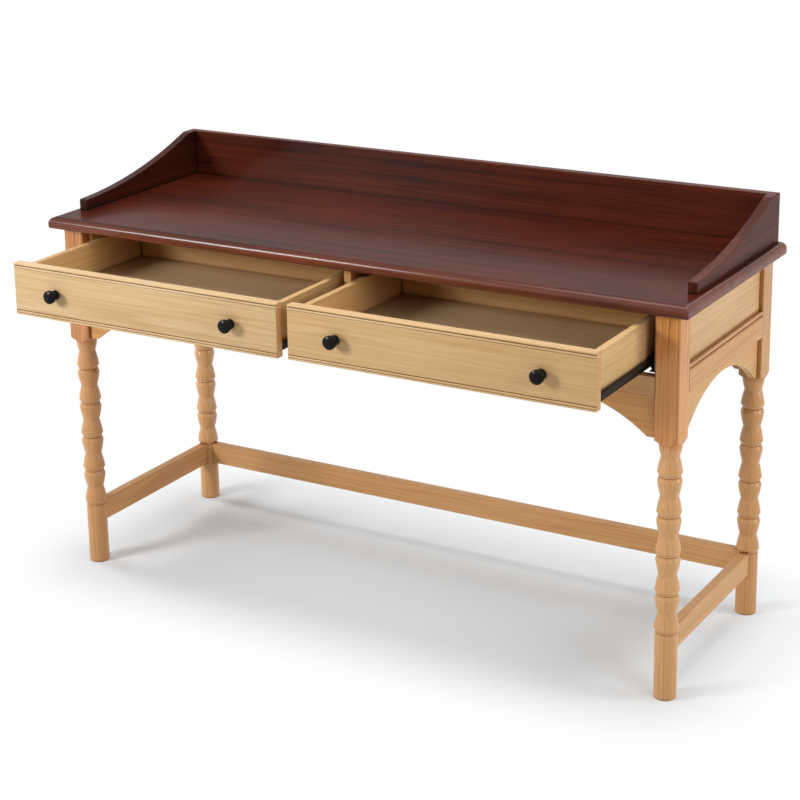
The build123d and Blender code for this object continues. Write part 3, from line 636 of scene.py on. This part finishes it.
def arc(middle, reach, start, end, steps):
    """Return (back, up) points round part of an ellipse: middle plus the cosine and sine of the angle, each
    times its own reach. The angles, in degrees, run from straight back at 0 to straight up at 90.
    """
    angle = np.radians(np.linspace(start, end, steps))
    return np.column_stack((middle[0] + reach[0] * np.cos(angle), middle[1] + reach[1] * np.sin(angle)))


def bead(top, size, depth):
    """Return the outline of a bead: half an ellipse from its upper edge down to its lower one."""
    return arc((depth, top - size / 2), (depth, size / 2), 90, 270, BEAD_STEPS)


def groove(top, foot, depth):
    """Return the two corners at the floor of a groove."""
    return np.array([[depth, top], [depth, foot]])


def front_profile(thickness, height, look):
    """Return the outline of a drawer front, seen from its end, as (back, up) points from its foremost face.

    Two beads run along the top and two along the foot. From the top down the order is bead, groove, flat
    bead, fine groove and field, and then groove, flat bead, fine groove and bead. The field's edges are
    quarter rounds. The outline starts at the back of the upper edge and ends at the back of the lower one.
    """
    outer, inner, ease = look.outer_bead, look.inner_bead, look.field_round
    wide, fine = look.groove_width, look.fine_groove
    deep, shallow = outer / 2 + look.groove_depth, look.inner_depth + look.groove_depth
    upper = height - outer - wide - inner - fine
    lower = outer + fine + inner + wide
    parts = (
        [[thickness, height]],
        bead(height, outer, outer / 2),
        groove(height - outer, height - outer - wide, deep),
        bead(height - outer - wide, inner, look.inner_depth),
        groove(upper + fine, upper, shallow),
        arc((look.field_back + ease, upper - ease), (ease, ease), 90, 180, ROUND_STEPS),
        arc((look.field_back + ease, lower + ease), (ease, ease), 180, 270, ROUND_STEPS),
        groove(lower, lower - wide, deep),
        bead(outer + fine + inner, inner, look.inner_depth),
        groove(outer + fine, outer, shallow),
        bead(outer, outer, outer / 2),
        [[thickness, 0.0]],
    )
    return np.vstack(parts)


def carried(profile, stations, insets):
    """Return a closed skin: a closed (back, up) outline carried along X to each station.

    At each station the outline is pressed together evenly, so that its front, top and foot each stand back
    by that station's inset while its back stays in its plane. Ends are closed by one face each.
    """
    far, high = profile.max(axis=0)
    inset = insets[:, None]
    back = inset + profile[None, :, 0] * (far - inset) / far
    up = inset + profile[None, :, 1] * (high - 2 * inset) / high
    count = len(profile)
    along = np.broadcast_to(stations[:, None], back.shape)
    points = np.stack((along, back, up), axis=2).reshape(-1, 3)
    row, column = np.meshgrid(np.arange(len(stations) - 1), np.arange(count), indexing="ij")
    this, after = row * count + column, row * count + (column + 1) % count
    corners = (this, after, after + count, this + count)
    faces = np.stack([each.ravel() for each in corners], axis=1).tolist()
    last = (len(stations) - 1) * count
    faces += [list(range(count))[::-1], list(range(last, last + count))]
    return points, faces


def new_object(name, data):
    """Put data into the scene as an object."""
    made = bpy.data.objects.new(name, data)
    bpy.context.scene.collection.objects.link(made)
    return made


def drawer_front(bay, look):
    """Make one drawer front: its outline carried from end to end, with quarter rounds at the ends."""
    node = f"{bay}_drawer_front"
    low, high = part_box(node)
    profile = front_profile(high.y - low.y, high.z - low.z, look)
    turn = np.radians(np.linspace(0.0, 90.0, ROUND_STEPS))
    near, inset = look.end_round * (1 - np.cos(turn)), look.end_round * (1 - np.sin(turn))
    stations = np.concatenate((low.x + near, high.x - near[::-1]))
    points, faces = carried(profile, stations, np.concatenate((inset, inset[::-1])))
    points[:, 1] += low.y
    points[:, 2] += low.z
    mesh = bpy.data.meshes.new(node)
    mesh.from_pydata(points, [], faces)
    mesh.validate()
    mesh.shade_smooth()
    mesh.set_sharp_from_angle(angle=SHARP_ANGLE)
    piece = new_object(f"{node}_moulded", mesh)
    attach(piece, f"{bay}_drawer")
    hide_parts(node)
    return piece


def painted_arris_and_end_grain(made, base):
    """Return a drawer front's colour made paler on its upper mouldings, where the finish is thin, and
    darker on its ends, where the end grain drinks more of it. Both fronts share this tint, as they lie
    equally far from the desk's middle.
    """
    low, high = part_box("left_drawer_front")
    place = made.add("ShaderNodeSeparateXYZ", {0: made.place}).outputs
    # Painted highlight: the upper mouldings are made paler between the two depths below the top edge.
    above = made.remap(place["Z"], high.z - ARRIS_FOOT, high.z - ARRIS_FOOT + ARRIS_FADE, 0.0, 1.0)
    below = made.remap(place["Z"], high.z - ARRIS_TOP - ARRIS_FADE, high.z - ARRIS_TOP, 1.0, 0.0)
    pale = made.times(base, colour(ARRIS_PAINTED_HIGHLIGHT))
    base = made.blend(made.sums("MULTIPLY", above, below), base, pale)
    middle, half = abs(low.x + high.x) / 2, (high.x - low.x) / 2
    sideways = made.sums("SUBTRACT", made.sums("ABSOLUTE", place["X"]), middle)
    ends = made.remap(made.sums("ABSOLUTE", sideways), half - END_WIDTH, half, 0.0, 1.0)
    return made.blend(ends, base, made.times(base, colour(END_TONE)))


class SEWINGDESK_OT_fronts(bpy.types.Operator):
    """Make the moulded drawer fronts"""

    bl_idname = "sewingdesk.fronts"
    bl_label = "Drawer Fronts"

    def execute(self, context):
        """Make both fronts and give each its own grain."""
        look = context.scene.sewing_desk_front
        for bay, (along, heart, tone) in FRONT_BOARDS.items():
            piece = drawer_front(bay, context.scene.sewing_desk_moulding)
            grain = wood(f"pale pine {bay} front", along, heart, look, tone, painted_arris_and_end_grain)
            piece.data.materials.append(grain)
        return {"FINISHED"}


# ---- Knobs, slides and screws ----


def coating(name, look):
    """Make the material of a plain coat or a bare metal."""
    made = Finish(name)
    made.surface(look, colour(look.base), look.roughness)
    made.feed(made.shader.inputs["Metallic"], look.metal)
    return made.material


class SEWINGDESK_OT_knobs(bpy.types.Operator):
    """Finish the black turned knobs"""

    bl_idname = "sewingdesk.knobs"
    bl_label = "Knobs"

    def execute(self, context):
        """Paint the knobs black."""
        black = coating("black knob paint", context.scene.sewing_desk_knob)
        for bay in ("left", "right"):
            paint(f"{bay}_drawer_knobs", black)
        return {"FINISHED"}


class SEWINGDESK_OT_slides(bpy.types.Operator):
    """Finish the slides, rollers and screws"""

    bl_idname = "sewingdesk.slides"
    bl_label = "Slides"

    def execute(self, context):
        """Coat the slides black and leave the screws bright."""
        black = coating("black slide coat", context.scene.sewing_desk_slide)
        zinc = coating("zinc screw", context.scene.sewing_desk_zinc)
        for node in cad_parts:
            if "screws" in node:
                paint(node, zinc)
            elif any(word in node for word in ("runner", "channel", "roller")):
                paint(node, black)
        return {"FINISHED"}


# ---- Stage ----

LENS = 90.3
SENSOR = 36.0
CAMERA_PLACE = (1.927195, -3.186191, 1.747094)
CAMERA_YAW = 30.443
CAMERA_PITCH = -16.064
CAMERA_ROLL = -0.892
CAMERA_REACH = 60.0

# The lens is shifted by this share of the picture's width.
HORIZON_SHIFT = -0.14375

# Each lamp: its place, its width and its power in watts.
LAMPS = {
    "key": ((-2.3, -3.0, 2.0), 1.2, 96.0),
    "overhead": ((0.2, -0.15, 3.4), 2.4, 68.0),
    "left fill": ((-3.6, 0.4, 1.4), 1.6, 40.0),
    "right fill": ((3.4, -1.4, 2.0), 1.6, 31.0),
    "rear right fill": ((3.4, 1.0, 1.2), 1.6, 37.0),
    "rear": ((0.3, 3.0, 2.8), 1.8, 15.0),
}
LAMP_AIM = (0.0, 0.0, 0.5)
AMBIENT = 0.05
FLOOR_REACH = 12.0
FLOOR_COLOUR = (0.80, 0.80, 0.80)
FLOOR_SEEN = (0.89, 0.955, 1.0)
FLOOR_LIFT = 0.13

# The floor keeps its shadow inside this box, and fades to white over this width outside it.
FADE_MIDDLE = (0.0, 0.13, 0.0)
FADE_HALF = (0.60, 0.18, 0.0)
FADE_WIDTH = 0.30


def floor_material():
    """Make the floor: matt and pale under the desk, where it keeps the shadow, and white further out."""
    made = Finish("pale floor")
    seen = made.direct_rays()
    far = {"Value": made.outside(FADE_MIDDLE, FADE_HALF), "From Max": FADE_WIDTH, "To Min": FLOOR_LIFT}
    climb = made.add("ShaderNodeMapRange", far, interpolation_type="SMOOTHSTEP").outputs["Result"]
    base = made.blend(seen, colour(FLOOR_COLOUR), colour(FLOOR_SEEN))
    matt = made.add("ShaderNodeBsdfDiffuse", {"Color": base})
    white = made.add("ShaderNodeEmission", {"Strength": 1.0})
    share = made.sums("MULTIPLY", climb, seen)
    both = made.add("ShaderNodeMixShader", {0: share, 1: matt.outputs[0], 2: white.outputs[0]})
    made.feed(made.tree.nodes["Material Output"].inputs["Surface"], both.outputs[0])
    made.tree.nodes.remove(made.shader)
    return made.material


def make_floor():
    """Lay the floor: one square face, centred under the desk."""
    far = FLOOR_REACH
    mesh = bpy.data.meshes.new("floor")
    mesh.from_pydata([(-far, -far, 0), (far, -far, 0), (far, far, 0), (-far, far, 0)], [], [(0, 1, 2, 3)])
    mesh.materials.append(floor_material())
    new_object("floor", mesh)


def studio_world():
    """Make the world: white where it is seen or mirrored, and dim where it gives light."""
    world = bpy.data.worlds.new("studio")
    world.use_nodes = True
    made = Nodes(world.node_tree)
    dim = made.tree.nodes["Background"]
    made.feed(dim.inputs["Color"], WHITE)
    made.feed(dim.inputs["Strength"], AMBIENT)
    white = made.add("ShaderNodeBackground", {"Color": WHITE})
    share = made.direct_rays()
    both = made.add("ShaderNodeMixShader", {0: share, 1: dim.outputs[0], 2: white.outputs[0]})
    made.feed(made.tree.nodes["World Output"].inputs["Surface"], both.outputs[0])
    return world


def look_from(place, aim):
    """Give the matrix of a lamp at a place, turned to shine at a point."""
    away = (Vector(place) - Vector(aim)).normalized()
    return Matrix.Translation(place) @ away.to_track_quat("Z", "Y").to_matrix().to_4x4()


def hang_lamps():
    """Hang a round lamp at each place, turned to the desk."""
    for name, (place, size, power) in LAMPS.items():
        lamp = bpy.data.lights.new(name, "AREA")
        lamp.shape = "DISK"
        lamp.size = size
        lamp.energy = power
        new_object(name, lamp).matrix_world = look_from(place, LAMP_AIM)


def camera_axes():
    """Give the camera's right, up and backward directions from its yaw, pitch and roll."""
    yaw, pitch, roll = (math.radians(a) for a in (CAMERA_YAW, CAMERA_PITCH, CAMERA_ROLL))
    ahead = Vector((-math.sin(yaw) * math.cos(pitch), math.cos(yaw) * math.cos(pitch), math.sin(pitch)))
    level = Vector((math.cos(yaw), math.sin(yaw), 0))
    over = level.cross(ahead)
    right = level * math.cos(roll) + over * math.sin(roll)
    up = over * math.cos(roll) - level * math.sin(roll)
    return right, up, -ahead


def set_camera(scene):
    """Stand the camera at its place and shift its lens."""
    lens = bpy.data.cameras.new("camera")
    lens.lens = LENS
    lens.sensor_width = SENSOR
    lens.shift_y = HORIZON_SHIFT
    lens.clip_end = CAMERA_REACH
    camera = new_object("camera", lens)
    turn = Matrix(camera_axes()).transposed().to_4x4()
    camera.matrix_world = Matrix.Translation(CAMERA_PLACE) @ turn
    scene.camera = camera


class SEWINGDESK_OT_stage(bpy.types.Operator):
    """Set up the floor, the light and the camera"""

    bl_idname = "sewingdesk.stage"
    bl_label = "Stage"

    def execute(self, context):
        """Make the stage."""
        context.scene.view_settings.view_transform = "Standard"
        make_floor()
        context.scene.world = studio_world()
        hang_lamps()
        set_camera(context.scene)
        return {"FINISHED"}


# ---- Panel and registration ----


class SEWINGDESK_PT_panel(bpy.types.Panel):
    """Sidebar panel that lists the finishing steps"""

    bl_label = "Sewing Desk"
    bl_space_type = "VIEW_3D"
    bl_region_type = "UI"
    bl_category = "Sewing Desk"

    def draw(self, context):
        """List the operators."""
        for operator in OPERATORS:
            self.layout.operator(operator.bl_idname)


LOOKS = {
    "sewing_desk_moulding": SewingDeskMoulding,
    "sewing_desk_leg": SewingDeskLeg,
    "sewing_desk_pine": SewingDeskPine,
    "sewing_desk_front": SewingDeskFront,
    "sewing_desk_box": SewingDeskBox,
    "sewing_desk_ply": SewingDeskPly,
    "sewing_desk_stain": SewingDeskStain,
    "sewing_desk_knob": SewingDeskKnob,
    "sewing_desk_slide": SewingDeskSlide,
    "sewing_desk_zinc": SewingDeskZinc,
}
OPERATORS = (
    SEWINGDESK_OT_legs,
    SEWINGDESK_OT_frame,
    SEWINGDESK_OT_fronts,
    SEWINGDESK_OT_panels,
    SEWINGDESK_OT_boxes,
    SEWINGDESK_OT_top,
    SEWINGDESK_OT_knobs,
    SEWINGDESK_OT_slides,
    SEWINGDESK_OT_stage,
)


def register():
    """Register the looks, the operators and the panel."""
    for each in (*LOOKS.values(), *OPERATORS, SEWINGDESK_PT_panel):
        bpy.utils.register_class(each)
    for name, look in LOOKS.items():
        setattr(bpy.types.Scene, name, PointerProperty(type=look))


def unregister():
    """Undo register."""
    for name in LOOKS:
        delattr(bpy.types.Scene, name)
    for each in reversed((*LOOKS.values(), *OPERATORS, SEWINGDESK_PT_panel)):
        bpy.utils.unregister_class(each)


def main():
    """Finish the desk, set the stage and write the sizes."""
    register()
    bpy.ops.sewingdesk.legs()
    bpy.ops.sewingdesk.frame()
    bpy.ops.sewingdesk.fronts()
    bpy.ops.sewingdesk.panels()
    bpy.ops.sewingdesk.boxes()
    bpy.ops.sewingdesk.top()
    bpy.ops.sewingdesk.knobs()
    bpy.ops.sewingdesk.slides()
    bpy.ops.sewingdesk.stage()


if __name__ == "__main__":
    main()
